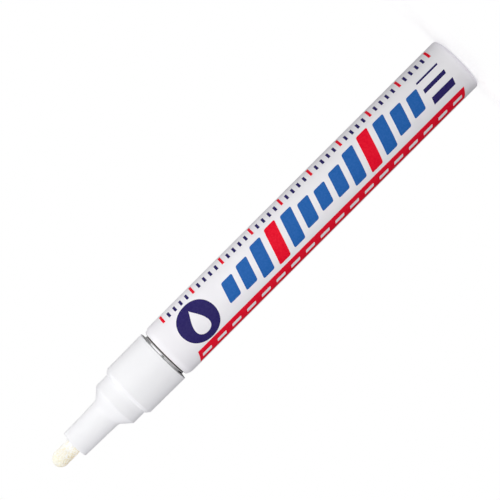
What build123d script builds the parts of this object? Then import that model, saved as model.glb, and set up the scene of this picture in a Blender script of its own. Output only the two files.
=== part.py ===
from build123d import *

import math
import os

# Paint marker with a valve behind its nib. It stands on its closed rear end with the nib up.
# Millimetres. +Z runs along the barrel from the rear face to the nib, and the origin is the
# centre of the rear face.

# Driving dimensions

# Clearances that several pieces share
FIT_GAP = 0.05  # radial gap of a fixed fit
RUN_GAP = 0.06  # gap beside a piece that slides
CUT_OVERRUN = 1.0  # how far a cutting tool runs past the material
FILLET_LIMIT_SHARE = 0.9  # most of a step's width that its rounding may take

# Barrel: one aluminium can with a closed rear end, a rounded shoulder and a bare neck
BARREL_DIAMETER = 15.0
BARREL_LENGTH = 99.7  # rear face to the front of the shoulder
BARREL_WALL = 0.5
BARREL_FLOOR = 0.8
REAR_RIM_WIDTH = 1.4  # ring round the rear face that slopes up to the corner
REAR_RIM_RISE = 0.45
REAR_RIM_BEND_RADIUS = 1.5  # rounding between the rear face and its rim
REAR_CORNER_RADIUS = 0.8
SHOULDER_TAPER_LENGTH = 1.3  # axial length of the taper at the front of the barrel
SHOULDER_TAPER_STEP = 0.55  # how much of the radius the taper takes
SHOULDER_BEND_RADIUS = 2.5  # rounding between the barrel's side and the taper
SHOULDER_LIP_RADIUS = 0.4  # rounding between the taper and the shoulder's front face
NECK_STEP = 1.3  # how far the neck lies inside the barrel's outer surface
NECK_WALL = 0.6
GROOVE_WIDTH = 0.3  # groove round the neck where the lacquer ends
GROOVE_DEPTH = 0.2
BEAD_HEIGHT = 0.4  # rolled bead at the mouth of the neck
BEAD_LENGTH = 1.2
BEAD_ROUNDING = 0.2

# Collar: the white ring that snaps over the neck and clamps the stack of flanges
COLLAR_GAP = 0.9  # bare neck that shows between the shoulder and the collar
COLLAR_LENGTH = 12.6
COLLAR_DRAFT = 0.1  # how much its front radius is smaller than its rear radius
COLLAR_LIP = 1.6  # thickness of the front lip that holds the nib holder's flange
COLLAR_REAR_ROUNDING = 0.12
COLLAR_CHAMFER_WIDTH = 0.65
COLLAR_CHAMFER_LENGTH = 0.9
COLLAR_CHAMFER_ROUNDING = 0.35

# Stack of flanges on the mouth of the neck
GASKET_THICKNESS = 0.6
HOUSING_FLANGE = 1.0
HOLDER_FLANGE = 1.4
HOLDER_FLANGE_STEP = 0.2  # how far the nib holder's flange stands out past the cap seat

# Nib holder: seat for a cap, cone and tapered sleeve
CAP_SEAT_LENGTH = 3.9  # in front of the collar
CAP_SEAT_ROUNDING = 0.5
SEAT_RELIEF = 0.2  # how much thinner the holder is inside the collar's lip
CONE_LENGTH = 2.65
CONE_FOOT_ROUNDING = 1.6
SLEEVE_BASE_DIAMETER = 8.05
SLEEVE_TIP_DIAMETER = 7.45
SLEEVE_LENGTH = 11.15
SLEEVE_TIP_ROUNDING = 0.25
HOLDER_WALL = 1.5
HOLDER_CONE_WALL = 0.9  # axial distance from the chamber's cone to the front of the cap seat
FLUTE_COUNT = 4
FLUTE_DIAMETER = 0.9
FLUTE_STOP = 2.0  # how far short of the sleeve's tip the flutes end

# Nib: a round-ended rod of bonded fibre
NIB_DIAMETER = 4.35
NIB_LENGTH = 25.2
NIB_SHOWN = 6.9  # in front of the sleeve
NIB_TIP_LENGTH = 2.25  # length of the rounded tip
ROUND_HANDLE_SHARE = 0.552  # curve handle that makes a quarter of an ellipse
NIB_REAR_ROUNDING = 0.4
NIB_TRAVEL = 2.0  # how far the nib is pressed in, which opens the valve

# Valve housing: a tube that hangs in the neck, with a web across it
HOUSING_WALL = 0.8
POCKET_DEPTH = 2.8  # from the front of the flange to the web
WEB_THICKNESS = 1.4

# Valve seat: a soft ring with a conical mouth, behind the web
SEAT_LAND = 0.36  # straight part of the ring's hole, in front of its cone
SEAT_GAP = 0.05  # between the closed valve's two cones

# Valve stem: a fluted rod, a conical head, a spring spigot and a tail
ROD_DIAMETER = 3.4
ROD_FLUTE_COUNT = 3
ROD_FLUTE_DIAMETER = 1.1
HEAD_FLOW_GAP = 1.05  # open ring between the head and the cage
HEAD_LENGTH = 0.9  # from the seat's rear face to the shoulder that the spring pushes
SPIGOT_LENGTH = 1.5
TAIL_DIAMETER = 2.2

# Return spring: a wire helix between the stem's head and the floor of the cage
SPRING_LENGTH = 8.0
SPRING_DIAMETER = 4.8  # to the middle of the wire
WIRE_DIAMETER = 0.45
SPRING_TURNS = 6

# Spring cage: a cup with a ported floor and a boss that guides the tail
CAGE_WALL = 0.7
CAGE_FLOOR = 1.0
CAGE_BEAD_HEIGHT = 0.25
CAGE_BEAD_LENGTH = 1.0
CAGE_BEAD_INSET = 0.6  # from the rear end of the cage
BOSS_HEIGHT = 2.0
PORT_COUNT = 4
PORT_DIAMETER = 1.4

# Mixing balls: two loose steel balls that stir the paint
BALL_DIAMETER = 4.76
BALL_SPACING_GAP = 0.3
BALL_TOP_GAP = 0.2  # left between a ball at the end of its run and the valve housing

# Radii, from the outside inwards
BARREL_RADIUS = BARREL_DIAMETER / 2
BARREL_BORE = BARREL_RADIUS - BARREL_WALL
NECK_RADIUS = BARREL_RADIUS - NECK_STEP
NECK_BORE = NECK_RADIUS - NECK_WALL
FLANGE_RADIUS = NECK_RADIUS + BEAD_HEIGHT
COLLAR_FRONT_RADIUS = BARREL_RADIUS - COLLAR_DRAFT
CAP_SEAT_RADIUS = FLANGE_RADIUS - HOLDER_FLANGE_STEP
HOLDER_ROOT_RADIUS = CAP_SEAT_RADIUS - SEAT_RELIEF
CHAMBER_RADIUS = CAP_SEAT_RADIUS - HOLDER_WALL
SLEEVE_BASE_RADIUS = SLEEVE_BASE_DIAMETER / 2
SLEEVE_TIP_RADIUS = SLEEVE_TIP_DIAMETER / 2
NIB_RADIUS = NIB_DIAMETER / 2
NIB_BORE = NIB_RADIUS + RUN_GAP
HOUSING_RADIUS = NECK_BORE - FIT_GAP
HOUSING_BORE = HOUSING_RADIUS - HOUSING_WALL
CAGE_RADIUS = HOUSING_BORE - FIT_GAP
CAGE_BORE = CAGE_RADIUS - CAGE_WALL
ROD_RADIUS = ROD_DIAMETER / 2
ROD_BORE = ROD_RADIUS + RUN_GAP
HEAD_RADIUS = CAGE_BORE - HEAD_FLOW_GAP
SEAT_MOUTH_RADIUS = HEAD_RADIUS + SEAT_GAP
SEAT_CONE_DEPTH = SEAT_MOUTH_RADIUS - ROD_BORE  # its cone has a right angle at the tip
SPRING_RADIUS = SPRING_DIAMETER / 2
WIRE_RADIUS = WIRE_DIAMETER / 2
SPIGOT_RADIUS = SPRING_RADIUS - WIRE_RADIUS - FIT_GAP
TAIL_RADIUS = TAIL_DIAMETER / 2
TAIL_BORE = TAIL_RADIUS + RUN_GAP
BALL_RADIUS = BALL_DIAMETER / 2

# Heights along the marker, from the collar backwards through the flanges and the valve
COLLAR_REAR = BARREL_LENGTH + COLLAR_GAP
COLLAR_FRONT = COLLAR_REAR + COLLAR_LENGTH
HOLDER_SHOULDER = COLLAR_FRONT - COLLAR_LIP
HOLDER_REAR = HOLDER_SHOULDER - HOLDER_FLANGE
HOUSING_SHOULDER = HOLDER_REAR - HOUSING_FLANGE
NECK_MOUTH = HOUSING_SHOULDER - GASKET_THICKNESS
WEB_FRONT = HOLDER_REAR - POCKET_DEPTH
WEB_REAR = WEB_FRONT - WEB_THICKNESS
SEAT_REAR = WEB_REAR - SEAT_LAND - SEAT_CONE_DEPTH
HEAD_REAR = SEAT_REAR - HEAD_LENGTH
SPIGOT_REAR = HEAD_REAR - SPIGOT_LENGTH
CAGE_FLOOR_FRONT = HEAD_REAR - SPRING_LENGTH
CAGE_REAR = CAGE_FLOOR_FRONT - CAGE_FLOOR
TAIL_REAR = CAGE_REAR + NIB_TRAVEL  # flush with the cage when the nib is pressed in

# Heights from the collar forwards to the tip
CAP_SEAT_FRONT = COLLAR_FRONT + CAP_SEAT_LENGTH
SLEEVE_BASE = CAP_SEAT_FRONT + CONE_LENGTH
SLEEVE_TIP = SLEEVE_BASE + SLEEVE_LENGTH
NIB_TIP = SLEEVE_TIP + NIB_SHOWN
NIB_REAR = NIB_TIP - NIB_LENGTH

# Mixing balls at rest, and how far they run
BALL_OFFSET = BALL_RADIUS + BALL_SPACING_GAP / 2
BALL_HEIGHT = BARREL_FLOOR + RUN_GAP + BALL_RADIUS
BALL_TRAVEL = CAGE_REAR - BALL_TOP_GAP - BALL_RADIUS - BALL_HEIGHT


def section_edges(corners):
    """Lines and arcs round a closed section of (radius, height) corners, in the XZ plane.

    A third value in a corner is the radius that rounds it.
    """
    points = [Vector(corner[0], 0, corner[1]) for corner in corners]
    stretches = []
    for index, corner in enumerate(corners):
        point = points[index]
        rounding = corner[2] if len(corner) > 2 else 0
        if not rounding:
            stretches.append((point, None, point))
            continue
        back = (points[index - 1] - point).normalized()
        ahead = (points[(index + 1) % len(points)] - point).normalized()
        half_angle = math.acos(back.dot(ahead)) / 2
        inwards = (back + ahead).normalized()
        centre = point + inwards * (rounding / math.sin(half_angle))
        tangent = rounding / math.tan(half_angle)
        stretches.append((point + back * tangent, centre - inwards * rounding, point + ahead * tangent))
    edges = []
    for index, (start, middle, end) in enumerate(stretches):
        if middle is not None:
            edges.append(Edge.make_three_point_arc(start, middle, end))
        edges.append(Edge.make_line(end, stretches[(index + 1) % len(stretches)][0]))
    return edges


def turned(*corners):
    """Solid of revolution about Z of a closed section of corners."""
    return revolve(Face(Wire(section_edges(corners))), Axis.Z)


def ring(inner_radius, outer_radius, rear, front):
    """Plain ring about Z."""
    return turned((inner_radius, rear), (outer_radius, rear), (outer_radius, front), (inner_radius, front))


def round_about(count, shape):
    """Copies of a shape, evenly spaced about Z."""
    return [shape.rotate(Axis.Z, 360 * index / count) for index in range(count)]


def upright_rod(radius, offset, rear, front):
    """Round rod along Z, at an offset along X."""
    from_rear = (Align.CENTER, Align.CENTER, Align.MIN)
    return Pos(offset, 0, rear) * Cylinder(radius, front - rear, align=from_rear)


def make_barrel():
    rim_inside = BARREL_RADIUS - REAR_RIM_WIDTH
    floor_rounding = max(REAR_CORNER_RADIUS - BARREL_WALL, 0)
    bead_rear = NECK_MOUTH - BEAD_LENGTH
    shoulder_inside = BARREL_LENGTH - NECK_WALL
    lip_radius = BARREL_RADIUS - SHOULDER_TAPER_STEP
    lip_width = NECK_STEP - SHOULDER_TAPER_STEP
    lip_rounding = min(SHOULDER_LIP_RADIUS, lip_width * FILLET_LIMIT_SHARE)
    inside_width = BARREL_BORE - NECK_BORE
    inside_rounding = min(SHOULDER_TAPER_STEP + BARREL_WALL, inside_width * FILLET_LIMIT_SHARE)
    groove_radius = NECK_RADIUS - GROOVE_DEPTH
    groove_front = BARREL_LENGTH + GROOVE_WIDTH
    return turned(
        (0, 0),
        (rim_inside, 0, REAR_RIM_BEND_RADIUS),
        (BARREL_RADIUS, REAR_RIM_RISE, REAR_CORNER_RADIUS),
        (BARREL_RADIUS, BARREL_LENGTH - SHOULDER_TAPER_LENGTH, SHOULDER_BEND_RADIUS),
        (lip_radius, BARREL_LENGTH, lip_rounding),
        (groove_radius, BARREL_LENGTH),
        (groove_radius, groove_front),
        (NECK_RADIUS, groove_front),
        (NECK_RADIUS, bead_rear),
        (FLANGE_RADIUS, bead_rear, BEAD_ROUNDING),
        (FLANGE_RADIUS, NECK_MOUTH, BEAD_ROUNDING),
        (NECK_BORE, NECK_MOUTH),
        (NECK_BORE, shoulder_inside),
        (BARREL_BORE, shoulder_inside, inside_rounding),
        (BARREL_BORE, BARREL_FLOOR, floor_rounding),
        (0, BARREL_FLOOR),
    )


def make_collar():
    bead_pocket = NECK_MOUTH - BEAD_LENGTH - FIT_GAP
    lip_bore = CAP_SEAT_RADIUS + FIT_GAP
    flange_bore = FLANGE_RADIUS + FIT_GAP
    neck_bore = NECK_RADIUS + FIT_GAP
    return turned(
        (neck_bore, COLLAR_REAR),
        (BARREL_RADIUS, COLLAR_REAR, COLLAR_REAR_ROUNDING),
        (COLLAR_FRONT_RADIUS, COLLAR_FRONT - COLLAR_CHAMFER_LENGTH, COLLAR_CHAMFER_ROUNDING),
        (COLLAR_FRONT_RADIUS - COLLAR_CHAMFER_WIDTH, COLLAR_FRONT),
        (lip_bore, COLLAR_FRONT),
        (lip_bore, HOLDER_SHOULDER),
        (flange_bore, HOLDER_SHOULDER),
        (flange_bore, bead_pocket),
        (neck_bore, bead_pocket),
    )


def make_nib_holder():
    cone_slope = CONE_LENGTH / (CAP_SEAT_RADIUS - SLEEVE_BASE_RADIUS)
    chamber_front = CAP_SEAT_FRONT - HOLDER_CONE_WALL
    bore_rear = chamber_front + (CHAMBER_RADIUS - NIB_BORE) * cone_slope
    body = turned(
        (CHAMBER_RADIUS, HOLDER_REAR),
        (FLANGE_RADIUS, HOLDER_REAR),
        (FLANGE_RADIUS, HOLDER_SHOULDER),
        (HOLDER_ROOT_RADIUS, HOLDER_SHOULDER),
        (HOLDER_ROOT_RADIUS, COLLAR_FRONT),
        (CAP_SEAT_RADIUS, COLLAR_FRONT),
        (CAP_SEAT_RADIUS, CAP_SEAT_FRONT, CAP_SEAT_ROUNDING),
        (SLEEVE_BASE_RADIUS, SLEEVE_BASE, CONE_FOOT_ROUNDING),
        (SLEEVE_TIP_RADIUS, SLEEVE_TIP, SLEEVE_TIP_ROUNDING),
        (NIB_BORE, SLEEVE_TIP),
        (NIB_BORE, bore_rear),
        (CHAMBER_RADIUS, chamber_front),
    )
    flute = upright_rod(FLUTE_DIAMETER / 2, NIB_BORE, chamber_front, SLEEVE_TIP - FLUTE_STOP)
    return body - round_about(FLUTE_COUNT, flute)


def make_nib():
    tip_start = NIB_TIP - NIB_TIP_LENGTH
    rear_corner = Vector(NIB_RADIUS - NIB_REAR_ROUNDING, 0, NIB_REAR)
    axis_rear = Vector(0, 0, NIB_REAR)
    axis_tip = Vector(0, 0, NIB_TIP)
    side_rear = Vector(NIB_RADIUS, 0, NIB_REAR + NIB_REAR_ROUNDING)
    side_front = Vector(NIB_RADIUS, 0, tip_start)
    side_handle = Vector(NIB_RADIUS, 0, tip_start + NIB_TIP_LENGTH * ROUND_HANDLE_SHARE)
    tip_handle = Vector(NIB_RADIUS * ROUND_HANDLE_SHARE, 0, NIB_TIP)
    edges = [
        Edge.make_line(axis_rear, rear_corner),
        Edge.make_tangent_arc(rear_corner, Vector(1, 0, 0), side_rear),
        Edge.make_line(side_rear, side_front),
        Edge.make_bezier(side_front, side_handle, tip_handle, axis_tip),
        Edge.make_line(axis_tip, axis_rear),
    ]
    return revolve(Face(Wire(edges)), Axis.Z)


def make_neck_gasket():
    return ring(NECK_BORE, FLANGE_RADIUS, NECK_MOUTH, HOUSING_SHOULDER)


def make_valve_housing():
    bead_front = CAGE_REAR + CAGE_BEAD_INSET + CAGE_BEAD_LENGTH + FIT_GAP
    bead_rear = CAGE_REAR + CAGE_BEAD_INSET - FIT_GAP
    groove = HOUSING_BORE + CAGE_BEAD_HEIGHT
    return turned(
        (HOUSING_BORE, CAGE_REAR),
        (HOUSING_RADIUS, CAGE_REAR),
        (HOUSING_RADIUS, HOUSING_SHOULDER),
        (FLANGE_RADIUS, HOUSING_SHOULDER),
        (FLANGE_RADIUS, HOLDER_REAR),
        (HOUSING_BORE, HOLDER_REAR),
        (HOUSING_BORE, WEB_FRONT),
        (ROD_BORE, WEB_FRONT),
        (ROD_BORE, WEB_REAR),
        (HOUSING_BORE, WEB_REAR),
        (HOUSING_BORE, bead_front),
        (groove, bead_front),
        (groove, bead_rear),
        (HOUSING_BORE, bead_rear),
    )


def make_valve_seat():
    return turned(
        (SEAT_MOUTH_RADIUS, SEAT_REAR),
        (CAGE_RADIUS, SEAT_REAR),
        (CAGE_RADIUS, WEB_REAR),
        (ROD_BORE, WEB_REAR),
        (ROD_BORE, SEAT_REAR + SEAT_CONE_DEPTH),
    )


def make_valve_stem():
    cone_rear = SEAT_REAR + SEAT_GAP - SEAT_GAP * math.sqrt(2)
    cone_front = cone_rear + HEAD_RADIUS - ROD_RADIUS
    body = turned(
        (0, TAIL_REAR),
        (TAIL_RADIUS, TAIL_REAR),
        (TAIL_RADIUS, SPIGOT_REAR),
        (SPIGOT_RADIUS, SPIGOT_REAR),
        (SPIGOT_RADIUS, HEAD_REAR),
        (HEAD_RADIUS, HEAD_REAR),
        (HEAD_RADIUS, cone_rear),
        (ROD_RADIUS, cone_front),
        (ROD_RADIUS, NIB_REAR),
        (0, NIB_REAR),
    )
    flute = upright_rod(ROD_FLUTE_DIAMETER / 2, ROD_RADIUS, cone_front, NIB_REAR + CUT_OVERRUN)
    return body - round_about(ROD_FLUTE_COUNT, flute)


def helix_point(turns, rear, pitch):
    """Point of the spring's centre line and its direction there, after a number of turns."""
    angle = 2 * math.pi * turns
    point = Vector(SPRING_RADIUS * math.cos(angle), SPRING_RADIUS * math.sin(angle), rear + pitch * turns)
    run = 2 * math.pi * SPRING_RADIUS
    direction = Vector(-run * math.sin(angle), run * math.cos(angle), pitch).normalized()
    return point, direction


def biarc(start, start_direction, end, end_direction):
    """Two tangent arcs from one point and direction to another."""
    across = end - start
    directions = start_direction + end_direction
    spread = 2 * (1 - start_direction.dot(end_direction))
    slant = across.dot(directions)
    reach = (math.sqrt(slant**2 + spread * across.dot(across)) - slant) / spread
    meeting = (start + end + (start_direction - end_direction) * reach) * 0.5
    meeting_direction = (across - directions * reach).normalized()
    return [
        Edge.make_tangent_arc(start, start_direction, meeting),
        Edge.make_tangent_arc(meeting, meeting_direction, end),
    ]


def print_spring_gap(pitch, samples_per_turn=24):
    """Prints the least gap between neighbouring turns of the wire."""
    count = SPRING_TURNS * samples_per_turn
    points = [helix_point(index / samples_per_turn, 0, pitch)[0] for index in range(count + 1)]
    half_turn = samples_per_turn // 2
    distances = [
        (points[later] - point).length
        for index, point in enumerate(points)
        for later in range(index + half_turn, count + 1)
    ]
    print("return_spring least gap between turns, mm:", round(min(distances) - WIRE_DIAMETER, 3))


def make_return_spring():
    rear = CAGE_FLOOR_FRONT + WIRE_RADIUS + FIT_GAP
    front = HEAD_REAR - WIRE_RADIUS - FIT_GAP
    pitch = (front - rear) / SPRING_TURNS
    half_turns = SPRING_TURNS * 2
    stations = [helix_point(index / 2, rear, pitch) for index in range(half_turns + 1)]
    edges = []
    for (start, start_direction), (end, end_direction) in zip(stations, stations[1:]):
        edges += biarc(start, start_direction, end, end_direction)
    print_spring_gap(pitch)
    path = Wire(edges)
    first_point, first_direction = stations[0]
    wire_section = Plane(origin=first_point, z_dir=first_direction) * Circle(WIRE_RADIUS)
    return sweep(wire_section, path=path)


def make_spring_cage():
    bead_rear = CAGE_REAR + CAGE_BEAD_INSET
    bead_front = bead_rear + CAGE_BEAD_LENGTH
    bead_radius = CAGE_RADIUS + CAGE_BEAD_HEIGHT
    boss_front = CAGE_FLOOR_FRONT + BOSS_HEIGHT
    body = turned(
        (TAIL_BORE, CAGE_REAR),
        (CAGE_RADIUS, CAGE_REAR),
        (CAGE_RADIUS, bead_rear),
        (bead_radius, bead_rear),
        (bead_radius, bead_front),
        (CAGE_RADIUS, bead_front),
        (CAGE_RADIUS, SEAT_REAR),
        (CAGE_BORE, SEAT_REAR),
        (CAGE_BORE, CAGE_FLOOR_FRONT),
        (SPIGOT_RADIUS, CAGE_FLOOR_FRONT),
        (SPIGOT_RADIUS, boss_front),
        (TAIL_BORE, boss_front),
    )
    port_offset = (SPIGOT_RADIUS + CAGE_BORE) / 2
    port_front = CAGE_FLOOR_FRONT + CUT_OVERRUN
    port = upright_rod(PORT_DIAMETER / 2, port_offset, CAGE_REAR - CUT_OVERRUN, port_front)
    return body - round_about(PORT_COUNT, port)


def make_mixing_ball(side):
    return Pos(side * BALL_OFFSET, 0, BALL_HEIGHT) * Sphere(BALL_RADIUS)


pieces = {
    "barrel": make_barrel(),
    "collar": make_collar(),
    "nib_holder": make_nib_holder(),
    "nib": make_nib(),
    "neck_gasket": make_neck_gasket(),
    "valve_housing": make_valve_housing(),
    "valve_seat": make_valve_seat(),
    "valve_stem": make_valve_stem(),
    "return_spring": make_return_spring(),
    "spring_cage": make_spring_cage(),
    "mixing_ball_left": make_mixing_ball(-1),
    "mixing_ball_right": make_mixing_ball(1),
}

os.makedirs("parts", exist_ok=True)
for name, piece in pieces.items():
    export_step(piece, f"parts/{name}.step")

print("nib travel, mm:", NIB_TRAVEL)
print("mixing ball travel, mm:", round(BALL_TRAVEL, 3))
print("overall length, mm:", round(NIB_TIP, 3))
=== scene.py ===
import math

import bmesh
import bpy
from mathutils import Color, Matrix, Vector, noise


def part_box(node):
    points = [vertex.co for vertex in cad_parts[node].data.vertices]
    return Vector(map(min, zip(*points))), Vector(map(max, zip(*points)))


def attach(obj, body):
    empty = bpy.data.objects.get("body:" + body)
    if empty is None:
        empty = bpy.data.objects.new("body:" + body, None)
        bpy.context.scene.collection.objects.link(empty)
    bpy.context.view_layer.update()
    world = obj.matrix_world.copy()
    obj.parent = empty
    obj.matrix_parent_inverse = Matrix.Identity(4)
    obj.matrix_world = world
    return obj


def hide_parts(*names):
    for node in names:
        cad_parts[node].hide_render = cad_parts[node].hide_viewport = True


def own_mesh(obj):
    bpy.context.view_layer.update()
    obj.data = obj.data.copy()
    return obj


# Paint marker, dressed for its picture. Metres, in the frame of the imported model: +Z runs from
# the closed rear end to the nib, and the middle of the printed side faces -Y.

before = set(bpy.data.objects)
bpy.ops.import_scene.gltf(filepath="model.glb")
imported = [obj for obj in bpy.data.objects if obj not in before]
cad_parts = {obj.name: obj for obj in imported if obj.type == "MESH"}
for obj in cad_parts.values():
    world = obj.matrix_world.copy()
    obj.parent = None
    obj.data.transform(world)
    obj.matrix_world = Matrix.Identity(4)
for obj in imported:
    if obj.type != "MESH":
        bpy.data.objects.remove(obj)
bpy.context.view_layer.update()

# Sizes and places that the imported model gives
BARREL_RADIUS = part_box("barrel")[1].x
COLLAR_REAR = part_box("collar")[0].z
SLEEVE_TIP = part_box("nib_holder")[1].z
NIB_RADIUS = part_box("nib")[1].x
NIB_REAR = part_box("nib")[0].z
NIB_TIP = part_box("nib")[1].z
SPRING_LOW, SPRING_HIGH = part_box("return_spring")

# Finishes have colours in linear light, ranges of roughness, sizes of patterns and depths of relief
PATTERN_SHARES = (0.3, 0.7)  # levels between which most of a noise lies
SMOOTH_ANGLE = math.radians(35)  # steeper edges stay sharp

# White lacquer of the barrel
LACQUER_COLOURS = ((0.885, 0.879, 0.907, 1.0), (0.910, 0.905, 0.928, 1.0))
LACQUER_ROUGHNESS = (0.30, 0.40)
CLOUD_SIZE = 0.006
SMUDGE_SIZE = 0.011
PEEL_SIZE = 0.0007
PEEL_DEPTH = 0.000003

# Bare turned metal of the neck
NECK_SHOWN = 0.0009  # length of bare neck behind the collar
NECK_GROOVE = 0.0003  # band beside the lacquer painted dark as the groove's shade
GROOVE_EDGE = 0.00006  # length in which the groove's painted shade thins out
GROOVE_RIM = 0.00014  # painted highlight: light line along the groove's rim
LIP_BARE = 0.00009  # how far the painted shade reaches on to the shoulder's lip
METAL_COLOURS = ((0.74, 0.74, 0.75, 1.0), (0.88, 0.87, 0.88, 1.0))
METAL_ROUGHNESS = (0.10, 0.20)
RIM_HIGHLIGHT_COLOUR = (0.66, 0.65, 0.65, 1.0)
GROOVE_SHADE_COLOUR = (0.070, 0.048, 0.045, 1.0)
TURNING_SIZE = 0.004
TURNING_SCALE = (1.0, 1.0, 60.0)  # draws the turned lines out round the neck

# White plastic of the collar and the nib holder
PLASTIC_COLOURS = ((0.874, 0.882, 0.896, 1.0), (0.898, 0.906, 0.918, 1.0))
PLASTIC_ROUGHNESS = (0.36, 0.48)
PLASTIC_GLOW_DEPTH = 0.0006  # how far light gets into the plastic
FLOW_SIZE = 0.004
FLOW_SCALE = (1.0, 1.0, 0.35)
SKIN_SIZE = 0.0018
GRAIN_SIZE = 0.00018
GRAIN_DEPTH = 0.000004

# Nib: bonded fibre, cut to a bullet tip
NIB_TIP_LENGTH = 0.00225
NIB_REAR_ROUNDING = 0.0004
NIB_SEGMENTS = 300
NIB_ROW = 0.00006  # distance between rings of points where the nib shows
NIB_COVERED = 0.0006  # length inside the sleeve that has the same fine rings
NIB_ROUNDING_STEPS = 5
TIP_ROWS_SHARE = 0.8  # length of the tip's curve, as a share of its width and height together
FIBRE_WIDTH = 0.00013
FIBRE_LENGTH = 0.0016
FIBRE_DEPTH = 0.000035
FIBRE_BUMP = 0.00002
PORE_SIZE = 0.00026
PORE_DEPTH = 0.00009
PORE_START_SHARE = 0.12  # level of the noise above which there is a pore
NIB_GLOW_DEPTH = 0.0016  # how far light gets into the fibre
SLEEVE_END_COLOUR = (0.922, 0.930, 0.925, 1.0)
TIP_COLOUR = (0.940, 0.926, 0.815, 1.0)

# Stains of the nib: their colours, how much of them shows, and the noise levels where they start and
# end; last, the painted shade of its -X side
PATCH_COLOUR = (0.930, 0.885, 0.680, 1.0)
PATCH_SIZE = 0.0011
PATCH_SHARES = (0.45, 0.70)
PATCH_MOST_SHARE = 0.40
STREAK_COLOUR = (0.900, 0.830, 0.620, 1.0)
STREAK_SHARES = (0.50, 0.75)
STREAK_MOST_SHARE = 0.35
FLECK_COLOUR = (0.840, 0.725, 0.400, 1.0)
FLECK_SIZE = 0.0004
FLECK_SHARES = (0.50, 0.56)
FLECK_LEAST_SHARE = 0.26  # how much of the flecks shows on the lit +X half; more of them towards the -X side is painted shade
SHADED_SIDE_COLOUR = (0.900, 0.780, 0.550, 1.0)
SHADED_SIDE_START_SHARE = 0.45  # share of the nib's radius past which its -X side gets painted shade
SHADED_SIDE_MOST_SHARE = 0.30

# Printing inks, as screen values of 0 to 255
RED_INK = (237, 4, 42)
BLUE_INK = (36, 100, 177)
NAVY_INK = (42, 34, 98)
SCREEN_WHITE = 255
INK_ROUGHNESS = (0.32, 0.44)
MOTTLE_SIZE = 0.0005
MOTTLE_DEPTH = 0.000003
MOTTLE_SHARES = (0.30, 0.78)  # levels of the mottle at which the ink is thickest and thinnest
THICK_INK_SHARE = 0.96
THIN_INK_SHARE = 1.06
THIN_INK_LIFT = 0.010  # light that the lacquer adds under thin ink

# Rubber seals
RUBBER_COLOURS = ((0.030, 0.030, 0.032, 1.0), (0.075, 0.074, 0.076, 1.0))
RUBBER_ROUGHNESS = (0.6, 0.8)
BLOOM_SIZE = 0.0012
BLOOM_SHARES = (0.3, 0.75)
RUBBER_GRAIN_SIZE = 0.00015
RUBBER_GRAIN_DEPTH = 0.00001

# Milky plastic of the valve
VALVE_COLOURS = ((0.78, 0.79, 0.75, 1.0), (0.86, 0.87, 0.84, 1.0))
VALVE_ROUGHNESS = (0.38, 0.5)
VALVE_GLOW_DEPTH = 0.0008
VALVE_FLOW_SIZE = 0.003
VALVE_GRAIN_SIZE = 0.0002
VALVE_GRAIN_DEPTH = 0.000006

# Steel of the spring and the balls
WIRE_COLOUR = (0.60, 0.60, 0.62)
WIRE_SCALE = (1.0, 1.0, 6.0)
BALL_COLOUR = (0.66, 0.66, 0.68)
BALL_SCALE = (1.0, 1.0, 1.0)
STEEL_DARK_SHARE = 0.85  # how bright the steel's darkest lines are
STEEL_ROUGHNESS = (0.14, 0.3)
STEEL_LINE_SIZE = 0.0009
STEEL_LINE_DEPTH = 0.000003

# Return spring
WIRE_DIAMETER = 0.00045
SPRING_TURNS = 6
SPRING_STEPS = 40  # steps of a turn
WIRE_SIDES = 12

# Print on the barrel: places run along the barrel from its front end, and round it as heights
PRINT_FRONT = 0.0944
INK_LIFT = 0.000012  # how far the ink stands above the lacquer
INK_SINK = 0.00003  # how far its underside lies in it
PRINT_STRIP = 0.00035  # widest flat strip of the wrapped print
CURVE_STEPS = 64
CORNER_STEPS = 4
LEAN_SHARE = 0.325  # how far slanted shapes lean for their height

BADGE_PLACE = 0.0060
BADGE_RADIUS = 0.0054
DROP_LENGTH = 0.0070
DROP_WIDTH = 0.0061
DROP_POINT_POWER = 1.5

BAR_START = 0.0153
BAR_COUNT = 13
BAR_PITCH = 0.0052
BAR_WIDTH = 0.0036
BAR_MEAN_HEIGHT = 0.0073
BAR_SWELL = 0.0021
BAR_WAVE = 6  # bars from crest to crest
BAR_ROUNDING = 0.0005

STRIPE_LOW = -0.0102
STRIPE_HIGH = -0.00575
STRIPE_LENGTH = 0.0900
DASH_COUNT = 18
DASH_LENGTH = 0.0030
DASH_THICKNESS = 0.0012
DASH_ROUNDING = 0.00025

TICK_LOW = 0.0062
TICK_SHORT = 0.0020
TICK_LONG = 0.0036
TICK_THICKNESS = 0.0007
TICK_PITCH = 0.0020
TICK_COUNT = 46
TICKS_PER_LONG = 5

GAUGE_PLACE = 0.0829
GAUGE_LENGTH = 0.0070
GAUGE_THICKNESSES = (0.0018, 0.0010, 0.0005)
GAUGE_HEIGHTS = (-0.0026, 0.0006, 0.0033)

# Camera: square to the barrel, rolled so that the nib points down to the left
CAMERA_LENS = 165.6  # millimetres, on Blender's own sensor
CAMERA_PLACE = (0.0033, -0.5565, 0.0676)
CAMERA_ROLL = math.radians(135)
CAMERA_NEAR = 0.01
CAMERA_FAR = 10.0

# Lamps: the height on the marker's axis that each points at, its angle round the marker from the
# middle of the printed side towards -X, its rise, its distance, its width and its power
LAMPS = {
    "key": (0.16, -30, 0, 0.25, 0.18, 0.184),
    "fill": (0.02, 0, 10, 0.35, 0.22, 0.43),
    "nose": (0.20, -90, 0, 0.18, 0.15, 0.155),
    "high": (0.08, 60, 45, 0.50, 0.30, 0.49),
    "side": (0.08, 120, 45, 0.50, 0.30, 0.52),
    "behind": (0.08, 180, 10, 0.50, 0.30, 1.50),
}
LAMP_COLOUR = (1.0, 1.0, 0.96)
AMBIENT_COLOUR = (0.925, 0.895, 1.0)
AMBIENT_STRENGTH = 0.402

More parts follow.
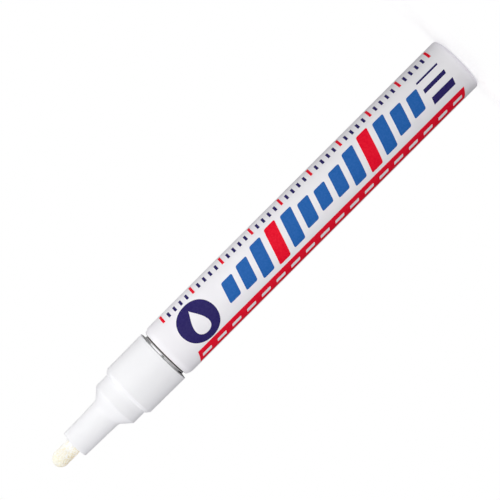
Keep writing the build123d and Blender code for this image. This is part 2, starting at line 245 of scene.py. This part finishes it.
# Cards that only gloss shows: the angles round the marker between which each stands, measured as
# for the lamps, and how bright it is
CARDS = {
    "card_window": (-66, -14, 1.25),
    "card_lens": (-7, 7, 0.20),
    "card_near_front": (9, 40, 0.66),
    "card_front": (40, 75, 0.52),
    "card_side": (75, 110, 0.34),
    "card_far_side": (110, 165, 0.0),
    "card_near_side": (-150, -85, 0.30),
    "card_behind": (165, 210, 0.10),
}
CARD_DISTANCE = 0.40
CARD_LOW = -0.15
CARD_HIGH = 0.45
CARD_STEPS = 12

# Floor: distances are from the marker's axis
FLOOR_RADIUS = 0.2
FLOOR_SIDES = 96
FLOOR_DROP = 0.00002  # keeps the floor clear of the flat rear face
FLOOR_ALBEDO = 0.15  # how much light it throws back on the marker
FLOOR_LIFT = 0.55  # light that it gives the rounded rear corner besides
LIFT_COLOUR = (0.94, 0.90, 1.0)
LIFT_FULL = 0.0083  # distance up to which it gives all of that light
LIFT_END = 0.0095
SHADOW_ALBEDO = 0.60  # how much of the shadow the camera sees
SHADOW_GLOW = 0.42  # what makes that floor white outside the shadow
SHADOW_FULL = 0.010  # distance up to which the floor shows the whole shadow
SHADOW_END = 0.040


# Node helpers


def display_colour(screen_values):
    """Linear colour with an alpha of 1, from screen values of 0 to 255."""
    screen = Color([value / SCREEN_WHITE for value in screen_values])
    return (*screen.from_srgb_to_scene_linear(), 1.0)


def grey(level):
    return (level, level, level, 1.0)


def start_material(name, **constants):
    """New material with a principled shader, whose named sockets get constant values."""
    material = bpy.data.materials.new(name)
    material.use_nodes = True
    shader = material.node_tree.nodes["Principled BSDF"]
    for socket, value in constants.items():
        shader.inputs[socket.replace("_", " ")].default_value = value
    return material, shader


def start_plain_material(name):
    """New material without any nodes."""
    material = bpy.data.materials.new(name)
    material.use_nodes = True
    material.node_tree.nodes.clear()
    return material


def add_node(owner, kind, values=None, **settings):
    """New node in a material or world, with its settings and the values of its inputs."""
    node = owner.node_tree.nodes.new(kind)
    for name, value in settings.items():
        setattr(node, name, value)
    for name, value in (values or {}).items():
        node.inputs[name].default_value = value
    return node


def join(owner, source, target):
    owner.node_tree.links.new(source, target)


def finish_surface(owner, shader, kind="ShaderNodeOutputMaterial"):
    """Output node that shows a shader."""
    output = add_node(owner, kind)
    join(owner, shader.outputs[0], output.inputs["Surface"])


def place_socket(material):
    """Place of a point on the object, in metres."""
    return add_node(material, "ShaderNodeTexCoord").outputs["Object"]


def axis_sockets(material, place):
    """A place's distances along X, Y and Z."""
    parts = add_node(material, "ShaderNodeSeparateXYZ")
    join(material, place, parts.inputs["Vector"])
    return parts.outputs


def stretched(material, place, scale):
    """Place with another scale along each axis, for textures with a grain."""
    mapping = add_node(material, "ShaderNodeMapping", {"Scale": scale})
    join(material, place, mapping.inputs["Vector"])
    return mapping.outputs["Vector"]


def noise_socket(material, place, size, detail=2.0):
    """Noise whose spots are about one size across."""
    texture = add_node(material, "ShaderNodeTexNoise", {"Scale": 1 / size, "Detail": detail})
    join(material, place, texture.inputs["Vector"])
    return texture.outputs["Fac"]


def two_toned(material, pattern, colours, shares=PATTERN_SHARES):
    """Colour that goes from the first to the second as a pattern rises between two levels."""
    ramp = add_node(material, "ShaderNodeValToRGB")
    for element, share, colour in zip(ramp.color_ramp.elements, shares, colours):
        element.position = share
        element.color = colour
    join(material, pattern, ramp.inputs["Fac"])
    return ramp.outputs["Color"]


def math_socket(material, operation, first, second):
    """Sum, product or comparison of two sockets or numbers."""
    node = add_node(material, "ShaderNodeMath", operation=operation)
    for index, value in enumerate((first, second)):
        if isinstance(value, bpy.types.NodeSocket):
            join(material, value, node.inputs[index])
        else:
            node.inputs[index].default_value = value
    return node.outputs["Value"]


def range_socket(material, value, low, high, low_result=0.0, high_result=1.0):
    """Value carried over from one range to another, held at its ends."""
    values = {"From Min": low, "From Max": high, "To Min": low_result, "To Max": high_result}
    node = add_node(material, "ShaderNodeMapRange", values)
    join(material, value, node.inputs["Value"])
    return node.outputs["Result"]


def varied(material, pattern, results):
    """Value that goes from the first result to the second with a pattern."""
    return range_socket(material, pattern, *PATTERN_SHARES, *results)


def mixed_colour(material, factor, first, second):
    """First colour where the factor is 0, second colour where it is 1."""
    node = add_node(material, "ShaderNodeMix", data_type="RGBA")
    sockets = {socket.identifier: socket for socket in node.inputs}
    join(material, factor, sockets["Factor_Float"])
    for name, colour in (("A_Color", first), ("B_Color", second)):
        if isinstance(colour, bpy.types.NodeSocket):
            join(material, colour, sockets[name])
        else:
            sockets[name].default_value = colour
    return next(socket for socket in node.outputs if socket.identifier == "Result_Color")


def add_bump(material, shader, height, depth):
    """Relief from a height of 0 to 1, with its depth in metres."""
    bump = add_node(material, "ShaderNodeBump", {"Strength": 1.0, "Distance": depth})
    join(material, height, bump.inputs["Height"])
    join(material, bump.outputs["Normal"], shader.inputs["Normal"])


def mixed_shader(owner, factor, first, second):
    """First shader where the factor is 0, second shader where it is 1."""
    node = add_node(owner, "ShaderNodeMixShader")
    join(owner, factor, node.inputs[0])
    join(owner, first.outputs[0], node.inputs[1])
    join(owner, second.outputs[0], node.inputs[2])
    return node


def summed_shader(owner, first, second):
    node = add_node(owner, "ShaderNodeAddShader")
    join(owner, first.outputs[0], node.inputs[0])
    join(owner, second.outputs[0], node.inputs[1])
    return node


def seen_directly(owner):
    """1 for rays that show the background: from the camera, in gloss and through glass."""
    path = add_node(owner, "ShaderNodeLightPath")
    seen = math_socket(owner, "MAXIMUM", path.outputs["Is Camera Ray"], path.outputs["Is Glossy Ray"])
    return math_socket(owner, "MAXIMUM", seen, path.outputs["Is Transmission Ray"])


# Materials


def barrel_material():
    """White lacquer that ends at the shoulder's lip, and bare turned metal in front of it, with painted
    shade in the groove beside the lacquer and a painted highlight along the groove's rim.
    """
    material, shader = start_material("white_lacquer", Specular_IOR_Level=0.35)
    place = place_socket(material)
    height = axis_sockets(material, place)["Z"]
    shoulder = COLLAR_REAR - NECK_SHOWN
    bare = math_socket(material, "GREATER_THAN", height, shoulder - LIP_BARE)

    clouds = noise_socket(material, place, CLOUD_SIZE, detail=4.0)
    lacquer = two_toned(material, clouds, LACQUER_COLOURS)
    turning = noise_socket(material, stretched(material, place, TURNING_SCALE), TURNING_SIZE, detail=3.0)
    silver = two_toned(material, turning, METAL_COLOURS)
    groove_end = shoulder + NECK_GROOVE
    rim_end = groove_end + GROOVE_RIM
    past_groove = range_socket(material, height, groove_end - GROOVE_EDGE, groove_end)
    past_rim = range_socket(material, height, rim_end, rim_end + GROOVE_EDGE)
    # Painted highlight: a light line along the groove's rim stands for the rim's edge highlight.
    rim_highlight = mixed_colour(material, past_rim, RIM_HIGHLIGHT_COLOUR, silver)
    # Painted shade: the dark band next to the lacquer stands for the groove's shadow.
    neck = mixed_colour(material, past_groove, GROOVE_SHADE_COLOUR, rim_highlight)
    colour = mixed_colour(material, bare, lacquer, neck)
    join(material, colour, shader.inputs["Base Color"])
    join(material, math_socket(material, "MULTIPLY", bare, past_rim), shader.inputs["Metallic"])

    smudges = noise_socket(material, place, SMUDGE_SIZE, detail=5.0)
    lacquer_roughness = varied(material, smudges, LACQUER_ROUGHNESS)
    metal_roughness = varied(material, turning, METAL_ROUGHNESS)
    difference = math_socket(material, "SUBTRACT", metal_roughness, lacquer_roughness)
    step = math_socket(material, "MULTIPLY", difference, bare)
    join(material, math_socket(material, "ADD", lacquer_roughness, step), shader.inputs["Roughness"])

    peel = noise_socket(material, place, PEEL_SIZE, detail=1.0)
    add_bump(material, shader, peel, PEEL_DEPTH)
    return material


def plastic_material():
    """White moulded plastic with a satin skin and a faint flow."""
    material, shader = start_material(
        "white_plastic",
        Specular_IOR_Level=0.35,
        Subsurface_Weight=0.12,
        Subsurface_Scale=PLASTIC_GLOW_DEPTH,
        Subsurface_Radius=(1.0, 1.0, 1.0),
    )
    place = place_socket(material)
    flow = noise_socket(material, stretched(material, place, FLOW_SCALE), FLOW_SIZE, detail=4.0)
    join(material, two_toned(material, flow, PLASTIC_COLOURS), shader.inputs["Base Color"])
    skin = noise_socket(material, place, SKIN_SIZE, detail=5.0)
    join(material, varied(material, skin, PLASTIC_ROUGHNESS), shader.inputs["Roughness"])
    add_bump(material, shader, noise_socket(material, place, GRAIN_SIZE), GRAIN_DEPTH)
    return material


def nib_material():
    """Bonded fibre: pale, with yellow patches, a creamier tip, and painted shade, darker and yellower,
    on its -X side.
    """
    material, shader = start_material(
        "nib_fibre",
        Roughness=0.9,
        Specular_IOR_Level=0.2,
        Subsurface_Weight=0.7,
        Subsurface_Scale=NIB_GLOW_DEPTH,
        Subsurface_Radius=(1.0, 1.0, 1.0),
    )
    place = place_socket(material)
    axes = axis_sockets(material, place)
    tipwards = range_socket(material, axes["Z"], SLEEVE_TIP, NIB_TIP)
    ground = mixed_colour(material, tipwards, SLEEVE_END_COLOUR, TIP_COLOUR)

    patches = noise_socket(material, place, PATCH_SIZE)
    patched = range_socket(material, patches, *PATCH_SHARES, 0.0, PATCH_MOST_SHARE)
    yellowed = mixed_colour(material, patched, ground, PATCH_COLOUR)

    fibre_scale = (1.0, 1.0, FIBRE_WIDTH / FIBRE_LENGTH)
    fibres = noise_socket(material, stretched(material, place, fibre_scale), FIBRE_WIDTH)
    streaks = range_socket(material, fibres, *STREAK_SHARES, 0.0, STREAK_MOST_SHARE)
    streaked = mixed_colour(material, streaks, yellowed, STREAK_COLOUR)

    flecks = noise_socket(material, place, FLECK_SIZE, detail=3.0)
    # The flecks are stains; that they grow towards the -X side, away from the key light, is painted
    # shade.
    flecks_towards_shade = range_socket(material, axes["X"], 0.0, -NIB_RADIUS, FLECK_LEAST_SHARE, 1.0)
    flecked = math_socket(material, "MULTIPLY", flecks_towards_shade, range_socket(material, flecks, *FLECK_SHARES))
    speckled = mixed_colour(material, flecked, streaked, FLECK_COLOUR)

    # Painted shade: the -X side, away from the key light, is tinted darker and yellower.
    shaded_side_start = -SHADED_SIDE_START_SHARE * NIB_RADIUS
    shaded_side = range_socket(material, axes["X"], shaded_side_start, -NIB_RADIUS, 0.0, SHADED_SIDE_MOST_SHARE)
    colour = mixed_colour(material, shaded_side, speckled, SHADED_SIDE_COLOUR)
    join(material, colour, shader.inputs["Base Color"])
    add_bump(material, shader, fibres, FIBRE_BUMP)
    return material


def ink_material(name, screen_values):
    """Printing ink on the lacquer, a little uneven in strength."""
    material, shader = start_material(name, Specular_IOR_Level=0.05)
    full = display_colour(screen_values)[:3]
    thick = tuple(THICK_INK_SHARE * value for value in full)
    thin = tuple(THIN_INK_LIFT + THIN_INK_SHARE * value for value in full)
    mottle = noise_socket(material, place_socket(material), MOTTLE_SIZE, detail=4.0)
    colour = two_toned(material, mottle, ((*thick, 1.0), (*thin, 1.0)), MOTTLE_SHARES)
    join(material, colour, shader.inputs["Base Color"])
    join(material, varied(material, mottle, INK_ROUGHNESS), shader.inputs["Roughness"])
    add_bump(material, shader, mottle, MOTTLE_DEPTH)
    return material


def rubber_material():
    """Dull dark rubber with a fine grain."""
    material, shader = start_material("seal_rubber", Specular_IOR_Level=0.3)
    place = place_socket(material)
    bloom = noise_socket(material, place, BLOOM_SIZE, detail=5.0)
    join(material, two_toned(material, bloom, RUBBER_COLOURS, BLOOM_SHARES), shader.inputs["Base Color"])
    join(material, varied(material, bloom, RUBBER_ROUGHNESS), shader.inputs["Roughness"])
    add_bump(material, shader, noise_socket(material, place, RUBBER_GRAIN_SIZE), RUBBER_GRAIN_DEPTH)
    return material


def valve_material():
    """Uncoloured moulded plastic of the valve, slightly milky."""
    material, shader = start_material(
        "valve_plastic",
        Subsurface_Weight=0.2,
        Subsurface_Scale=VALVE_GLOW_DEPTH,
        Subsurface_Radius=(1.0, 1.0, 0.9),
    )
    place = place_socket(material)
    flow = noise_socket(material, place, VALVE_FLOW_SIZE, detail=4.0)
    join(material, two_toned(material, flow, VALVE_COLOURS), shader.inputs["Base Color"])
    join(material, varied(material, flow, VALVE_ROUGHNESS), shader.inputs["Roughness"])
    add_bump(material, shader, noise_socket(material, place, VALVE_GRAIN_SIZE), VALVE_GRAIN_DEPTH)
    return material


def steel_material(name, light, scale):
    """Bright steel with drawn or lapped lines."""
    material, shader = start_material(name, Metallic=1.0)
    dark = tuple(STEEL_DARK_SHARE * value for value in light)
    place = stretched(material, place_socket(material), scale)
    lines = noise_socket(material, place, STEEL_LINE_SIZE, detail=4.0)
    colour = two_toned(material, lines, ((*dark, 1.0), (*light, 1.0)))
    join(material, colour, shader.inputs["Base Color"])
    join(material, varied(material, lines, STEEL_ROUGHNESS), shader.inputs["Roughness"])
    add_bump(material, shader, lines, STEEL_LINE_DEPTH)
    return material


def dress_nodes():
    """Materials of the nodes whose own shape shows."""
    plastic = plastic_material()
    rubber = rubber_material()
    valve = valve_material()
    ball = steel_material("ball_steel", BALL_COLOUR, BALL_SCALE)
    finishes = {
        "barrel": barrel_material(),
        "collar": plastic,
        "nib_holder": plastic,
        "neck_gasket": rubber,
        "valve_seat": rubber,
        "valve_housing": valve,
        "valve_stem": valve,
        "spring_cage": valve,
        "mixing_ball_left": ball,
        "mixing_ball_right": ball,
    }
    for node, material in finishes.items():
        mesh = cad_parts[node].data
        mesh.materials.clear()
        mesh.materials.append(material)


# Meshes


def new_object(name, bm, material):
    """Object in the scene from a bmesh, which is used up."""
    mesh = bpy.data.meshes.new(name)
    bm.to_mesh(mesh)
    bm.free()
    mesh.materials.append(material)
    made = bpy.data.objects.new(name, mesh)
    bpy.context.scene.collection.objects.link(made)
    return made


def new_piece(name, bm, material, body):
    """Piece of the marker, smooth where it is rounded, which moves with a body."""
    piece = new_object(name, bm, material)
    piece.data.polygons.foreach_set("use_smooth", [True] * len(piece.data.polygons))
    piece.data.set_sharp_from_angle(angle=SMOOTH_ANGLE)
    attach(piece, body)
    return piece


def bridge_rings(bm, rings):
    """Quads between neighbouring rings of points that close on themselves."""
    for lower, upper in zip(rings, rings[1:]):
        for index in range(len(lower)):
            following = (index + 1) % len(lower)
            bm.faces.new((lower[index], lower[following], upper[following], upper[index]))


def nib_rings():
    """Radius, height and outward direction (across, along) of each ring of the nib."""
    rings = []
    for step in range(NIB_ROUNDING_STEPS + 1):
        angle = math.pi / 2 * (1 - step / NIB_ROUNDING_STEPS)
        across, along = math.cos(angle), -math.sin(angle)
        radius = NIB_RADIUS - NIB_REAR_ROUNDING * (1 - across)
        height = NIB_REAR + NIB_REAR_ROUNDING * (1 + along)
        rings.append((radius, height, across, along))
    tip_start = NIB_TIP - NIB_TIP_LENGTH
    height = SLEEVE_TIP - NIB_COVERED
    while height < tip_start:
        rings.append((NIB_RADIUS, height, 1.0, 0.0))
        height += NIB_ROW
    tip_steps = round((NIB_RADIUS + NIB_TIP_LENGTH) * TIP_ROWS_SHARE / NIB_ROW)
    for step in range(tip_steps):
        angle = math.pi / 2 * step / tip_steps
        across, along = math.cos(angle) / NIB_RADIUS, math.sin(angle) / NIB_TIP_LENGTH
        length = math.hypot(across, along)
        radius = NIB_RADIUS * math.cos(angle)
        height = tip_start + NIB_TIP_LENGTH * math.sin(angle)
        rings.append((radius, height, across / length, along / length))
    return rings


def fibre_relief(point):
    """How far the nib's surface lies inside its outline at a point."""
    grain = Vector((point.x / FIBRE_WIDTH, point.y / FIBRE_WIDTH, point.z / FIBRE_LENGTH))
    fibre = (1 + noise.noise(grain)) / 2
    pore = max(0.0, noise.noise(point / PORE_SIZE) - PORE_START_SHARE)
    return FIBRE_DEPTH * fibre + PORE_DEPTH * pore


def make_nib():
    bm = bmesh.new()
    rings = []
    for radius, height, across, along in nib_rings():
        ring = []
        for index in range(NIB_SEGMENTS):
            angle = 2 * math.pi * index / NIB_SEGMENTS
            outwards = Vector((across * math.cos(angle), across * math.sin(angle), along))
            point = Vector((radius * math.cos(angle), radius * math.sin(angle), height))
            ring.append(bm.verts.new(point - outwards * fibre_relief(point)))
        rings.append(ring)
    bridge_rings(bm, rings)
    bm.faces.new(list(reversed(rings[0])))
    tip = Vector((0, 0, NIB_TIP))
    apex = bm.verts.new(tip - Vector((0, 0, fibre_relief(tip))))
    last = rings[-1]
    for index in range(NIB_SEGMENTS):
        bm.faces.new((last[index], last[(index + 1) % NIB_SEGMENTS], apex))
    piece = new_piece("nib_fibres", bm, nib_material(), "nib")
    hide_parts("nib")


def make_spring():
    """Wire helix in place of the return spring, held to the marker's body."""
    wire_radius = WIRE_DIAMETER / 2
    mean_radius = SPRING_HIGH.x - wire_radius
    start = SPRING_LOW.z + wire_radius
    rise = SPRING_HIGH.z - SPRING_LOW.z - WIRE_DIAMETER
    slope = rise / SPRING_TURNS / (2 * math.pi * mean_radius)
    bm = bmesh.new()
    rings = []
    steps = SPRING_TURNS * SPRING_STEPS
    for step in range(steps + 1):
        angle = 2 * math.pi * step / SPRING_STEPS
        outwards = Vector((math.cos(angle), math.sin(angle), 0))
        forwards = Vector((-math.sin(angle), math.cos(angle), slope)).normalized()
        upwards = outwards.cross(forwards)
        centre = outwards * mean_radius + Vector((0, 0, start + rise * step / steps))
        ring = []
        for side in range(WIRE_SIDES):
            around = 2 * math.pi * side / WIRE_SIDES
            offset = outwards * math.cos(around) + upwards * math.sin(around)
            ring.append(bm.verts.new(centre + offset * wire_radius))
        rings.append(ring)
    bridge_rings(bm, rings)
    bm.faces.new(list(reversed(rings[0])))
    bm.faces.new(rings[-1])
    bmesh.ops.recalc_face_normals(bm, faces=bm.faces[:])
    material = steel_material("spring_steel", WIRE_COLOUR, WIRE_SCALE)
    piece = new_piece("spring_wire", bm, material, "marker_body")
    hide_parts("return_spring")
    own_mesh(piece)


# Print: flat loops of (along, height), cut into strips and wrapped round the barrel


def eased_loop(corners, rounding):
    """Loop of points through corners that are rounded by short curves."""
    loop = []
    for index, corner in enumerate(corners):
        back = (corners[index - 1] - corner).normalized()
        ahead = (corners[(index + 1) % len(corners)] - corner).normalized()
        start, end = corner + back * rounding, corner + ahead * rounding
        for step in range(CORNER_STEPS + 1):
            share = step / CORNER_STEPS
            loop.append(start.lerp(corner, share).lerp(corner.lerp(end, share), share))
    return loop


def leaning_corners(along, low, high, length, lean=LEAN_SHARE):
    """Corners of a leaning four-sided shape, whose middle height starts at a place along the barrel."""
    middle = (low + high) / 2
    below = along + lean * (low - middle)
    above = along + lean * (high - middle)
    return [
        Vector((below, low)),
        Vector((below + length, low)),
        Vector((above + length, high)),
        Vector((above, high)),
    ]


def disc_loop(along, height, radius):
    loop = []
    for step in range(CURVE_STEPS):
        angle = 2 * math.pi * step / CURVE_STEPS
        loop.append(Vector((along + radius * math.cos(angle), height + radius * math.sin(angle))))
    return loop


def drop_loop(along, height, length, width):
    """Drop with its point up."""
    loop = []
    for step in range(CURVE_STEPS):
        angle = 2 * math.pi * step / CURVE_STEPS
        bulge = math.sin(angle) * math.sin(angle / 2) ** DROP_POINT_POWER
        loop.append(Vector((along - width / 2 * bulge, height + length / 2 * math.cos(angle))))
    return loop


def badge_loops():
    """Disc with a drop left out of it."""
    return [
        disc_loop(BADGE_PLACE, 0, BADGE_RADIUS),
        drop_loop(BADGE_PLACE, 0, DROP_LENGTH, DROP_WIDTH),
    ]


def bar_loops(red):
    """Slanted bars whose heights swell in waves: the red ones at the crests, or those between them."""
    loops = []
    for index in range(BAR_COUNT):
        crest = index % BAR_WAVE == BAR_WAVE // 2
        if crest != red:
            continue
        swell = -BAR_SWELL * math.cos(2 * math.pi * index / BAR_WAVE)
        high = (BAR_MEAN_HEIGHT + swell) / 2
        corners = leaning_corners(BAR_START + BAR_PITCH * index, -high, high, BAR_WIDTH)
        loops.append(eased_loop(corners, BAR_ROUNDING))
    return loops


def stripe_loops():
    """Long stripe with a row of dashes left out of it."""
    loops = [leaning_corners(0, STRIPE_LOW, STRIPE_HIGH, STRIPE_LENGTH)]
    middle = (STRIPE_LOW + STRIPE_HIGH) / 2
    low, high = middle - DASH_THICKNESS / 2, middle + DASH_THICKNESS / 2
    pitch = STRIPE_LENGTH / DASH_COUNT
    for index in range(DASH_COUNT):
        along = pitch * index + (pitch - DASH_LENGTH) / 2
        loops.append(eased_loop(leaning_corners(along, low, high, DASH_LENGTH), DASH_ROUNDING))
    return loops


def tick_loops(long):
    """Ticks of a scale along the barrel: the long ones, or the short ones between them."""
    loops = []
    reach = TICK_LONG if long else TICK_SHORT
    for index in range(TICK_COUNT):
        if (index % TICKS_PER_LONG == 0) != long:
            continue
        along = TICK_PITCH * index - TICK_THICKNESS / 2
        loops.append(leaning_corners(along, TICK_LOW, TICK_LOW + reach, TICK_THICKNESS, lean=0))
    return loops


def gauge_loops():
    """Lines of three weights."""
    loops = []
    for thickness, height in zip(GAUGE_THICKNESSES, GAUGE_HEIGHTS):
        low, high = height - thickness / 2, height + thickness / 2
        loops.append(leaning_corners(GAUGE_PLACE, low, high, GAUGE_LENGTH))
    return loops


def on_barrel(along, height, lift):
    """Point above the barrel's surface for a place on the flat print."""
    angle = height / BARREL_RADIUS
    radius = BARREL_RADIUS + lift
    return Vector((radius * math.sin(angle), -radius * math.cos(angle), PRINT_FRONT - along))


def whole(bm):
    """All points, edges and faces of a bmesh."""
    return bm.verts[:] + bm.edges[:] + bm.faces[:]


def flat_print(loops):
    """Flat bmesh of filled loops, cut into strips; a loop inside another is a hole in it."""
    bm = bmesh.new()
    for loop in loops:
        points = [bm.verts.new((point.x, point.y, 0)) for point in loop]
        for first, second in zip(points, points[1:] + points[:1]):
            bm.edges.new((first, second))
    bmesh.ops.triangle_fill(bm, edges=bm.edges[:], use_beauty=True, normal=(0, 0, 1))
    heights = [vertex.co.y for vertex in bm.verts]
    strips = math.ceil((max(heights) - min(heights)) / PRINT_STRIP)
    for strip in range(1, strips):
        cut = (0, min(heights) + strip * PRINT_STRIP, 0)
        bmesh.ops.bisect_plane(bm, geom=whole(bm), plane_co=cut, plane_no=(0, 1, 0))
    return bm


def wrapped_print(name, loops, material):
    """Thin closed skin of ink on the barrel."""
    bm = flat_print(loops)
    raised = bmesh.ops.extrude_face_region(bm, geom=whole(bm), use_keep_orig=True)["geom"]
    upper = {item for item in raised if isinstance(item, bmesh.types.BMVert)}
    for vertex in bm.verts:
        lift = INK_LIFT if vertex in upper else -INK_SINK
        vertex.co = on_barrel(vertex.co.x, vertex.co.y, lift)
    bmesh.ops.recalc_face_normals(bm, faces=bm.faces[:])
    new_piece(name, bm, material, "marker_body")


def make_print():
    red = ink_material("red_ink", RED_INK)
    blue = ink_material("blue_ink", BLUE_INK)
    navy = ink_material("navy_ink", NAVY_INK)
    wrapped_print("print_red", bar_loops(True) + stripe_loops() + tick_loops(True), red)
    wrapped_print("print_blue", bar_loops(False), blue)
    wrapped_print("print_navy", badge_loops() + tick_loops(False) + gauge_loops(), navy)


# Studio


def towards(angle, rise=0):
    """Direction from the marker, at an angle round it and a rise above the floor, in degrees."""
    round_it, up = math.radians(angle), math.radians(rise)
    level = math.cos(up)
    return Vector((-math.sin(round_it) * level, -math.cos(round_it) * level, math.sin(up)))


def make_world():
    """Soft light from all round, behind a white background."""
    world = bpy.data.worlds.new("studio")
    bpy.context.scene.world = world
    world.use_nodes = True
    world.node_tree.nodes.clear()
    soft = {"Color": (*AMBIENT_COLOUR, 1.0), "Strength": AMBIENT_STRENGTH}
    ambient = add_node(world, "ShaderNodeBackground", soft)
    white = add_node(world, "ShaderNodeBackground", {"Color": grey(1.0), "Strength": 1.0})
    background = mixed_shader(world, seen_directly(world), ambient, white)
    finish_surface(world, background, "ShaderNodeOutputWorld")


def floor_material():
    """White floor that shows the marker's shadow beside it and fades into the background."""
    material = start_plain_material("floor")
    flat = add_node(material, "ShaderNodeVectorMath", operation="MULTIPLY")
    join(material, place_socket(material), flat.inputs[0])
    flat.inputs[1].default_value = (1.0, 1.0, 0.0)
    length = add_node(material, "ShaderNodeVectorMath", operation="LENGTH")
    join(material, flat.outputs["Vector"], length.inputs[0])
    distance = length.outputs["Value"]

    bounce = add_node(material, "ShaderNodeBsdfDiffuse", {"Color": grey(FLOOR_ALBEDO)})
    lift = add_node(material, "ShaderNodeEmission", {"Color": (*LIFT_COLOUR, 1.0)})
    lift_level = range_socket(material, distance, LIFT_FULL, LIFT_END, FLOOR_LIFT, 0.0)
    join(material, lift_level, lift.inputs["Strength"])
    unseen = summed_shader(material, bounce, lift)

    shadowed = add_node(material, "ShaderNodeBsdfDiffuse", {"Color": grey(SHADOW_ALBEDO)})
    glow = add_node(material, "ShaderNodeEmission", {"Color": grey(1.0), "Strength": SHADOW_GLOW})
    white = add_node(material, "ShaderNodeEmission", {"Color": grey(1.0), "Strength": 1.0})
    faded = range_socket(material, distance, SHADOW_FULL, SHADOW_END)
    seen = mixed_shader(material, faded, summed_shader(material, shadowed, glow), white)
    finish_surface(material, mixed_shader(material, seen_directly(material), unseen, seen))
    return material


def make_floor():
    """Floor that stays out of the gloss, where the cards stand in for the studio."""
    bm = bmesh.new()
    bmesh.ops.create_circle(bm, cap_ends=True, segments=FLOOR_SIDES, radius=FLOOR_RADIUS)
    floor = new_object("floor", bm, floor_material())
    floor.location.z = -FLOOR_DROP
    floor.visible_glossy = False


def make_card(name, start, end, level):
    """Curved upright card round the marker, which shows in glossy surfaces alone."""
    bm = bmesh.new()
    edges = []
    for step in range(CARD_STEPS + 1):
        foot = towards(start + (end - start) * step / CARD_STEPS) * CARD_DISTANCE
        edges.append([bm.verts.new(foot + Vector((0, 0, height))) for height in (CARD_LOW, CARD_HIGH)])
    for (low, high), (next_low, next_high) in zip(edges, edges[1:]):
        bm.faces.new((low, next_low, next_high, high))
    material = start_plain_material(name)
    glow = add_node(material, "ShaderNodeEmission", {"Color": grey(1.0), "Strength": level})
    finish_surface(material, glow)
    card = new_object(name, bm, material)
    card.visible_camera = False
    card.visible_diffuse = False
    card.visible_shadow = False
    card.visible_transmission = False


def make_lamp(name, aim, angle, rise, distance, width, power):
    """Soft lamp that lights the marker; the cards stand in for it in gloss."""
    data = bpy.data.lights.new(name, "AREA")
    data.shape = "DISK"
    data.size = width
    data.energy = power
    data.color = LAMP_COLOUR
    lamp = bpy.data.objects.new(name, data)
    outwards = towards(angle, rise)
    lamp.location = Vector((0, 0, aim)) + outwards * distance
    lamp.rotation_euler = outwards.to_track_quat("Z", "Y").to_euler()
    lamp.visible_camera = False
    lamp.visible_glossy = False
    bpy.context.scene.collection.objects.link(lamp)


def make_camera():
    data = bpy.data.cameras.new("camera")
    data.lens = CAMERA_LENS
    data.clip_start = CAMERA_NEAR
    data.clip_end = CAMERA_FAR
    camera = bpy.data.objects.new("camera", data)
    upright = Matrix.Rotation(math.radians(90), 4, "X")
    rolled = Matrix.Rotation(CAMERA_ROLL, 4, "Y") @ upright
    camera.matrix_world = Matrix.Translation(CAMERA_PLACE) @ rolled
    bpy.context.scene.collection.objects.link(camera)
    bpy.context.scene.camera = camera


dress_nodes()
make_nib()
make_spring()
make_print()

make_world()
make_floor()
for card, values in CARDS.items():
    make_card(card, *values)
for lamp, values in LAMPS.items():
    make_lamp(lamp, *values)
make_camera()
bpy.context.scene.view_settings.view_transform = "Standard"
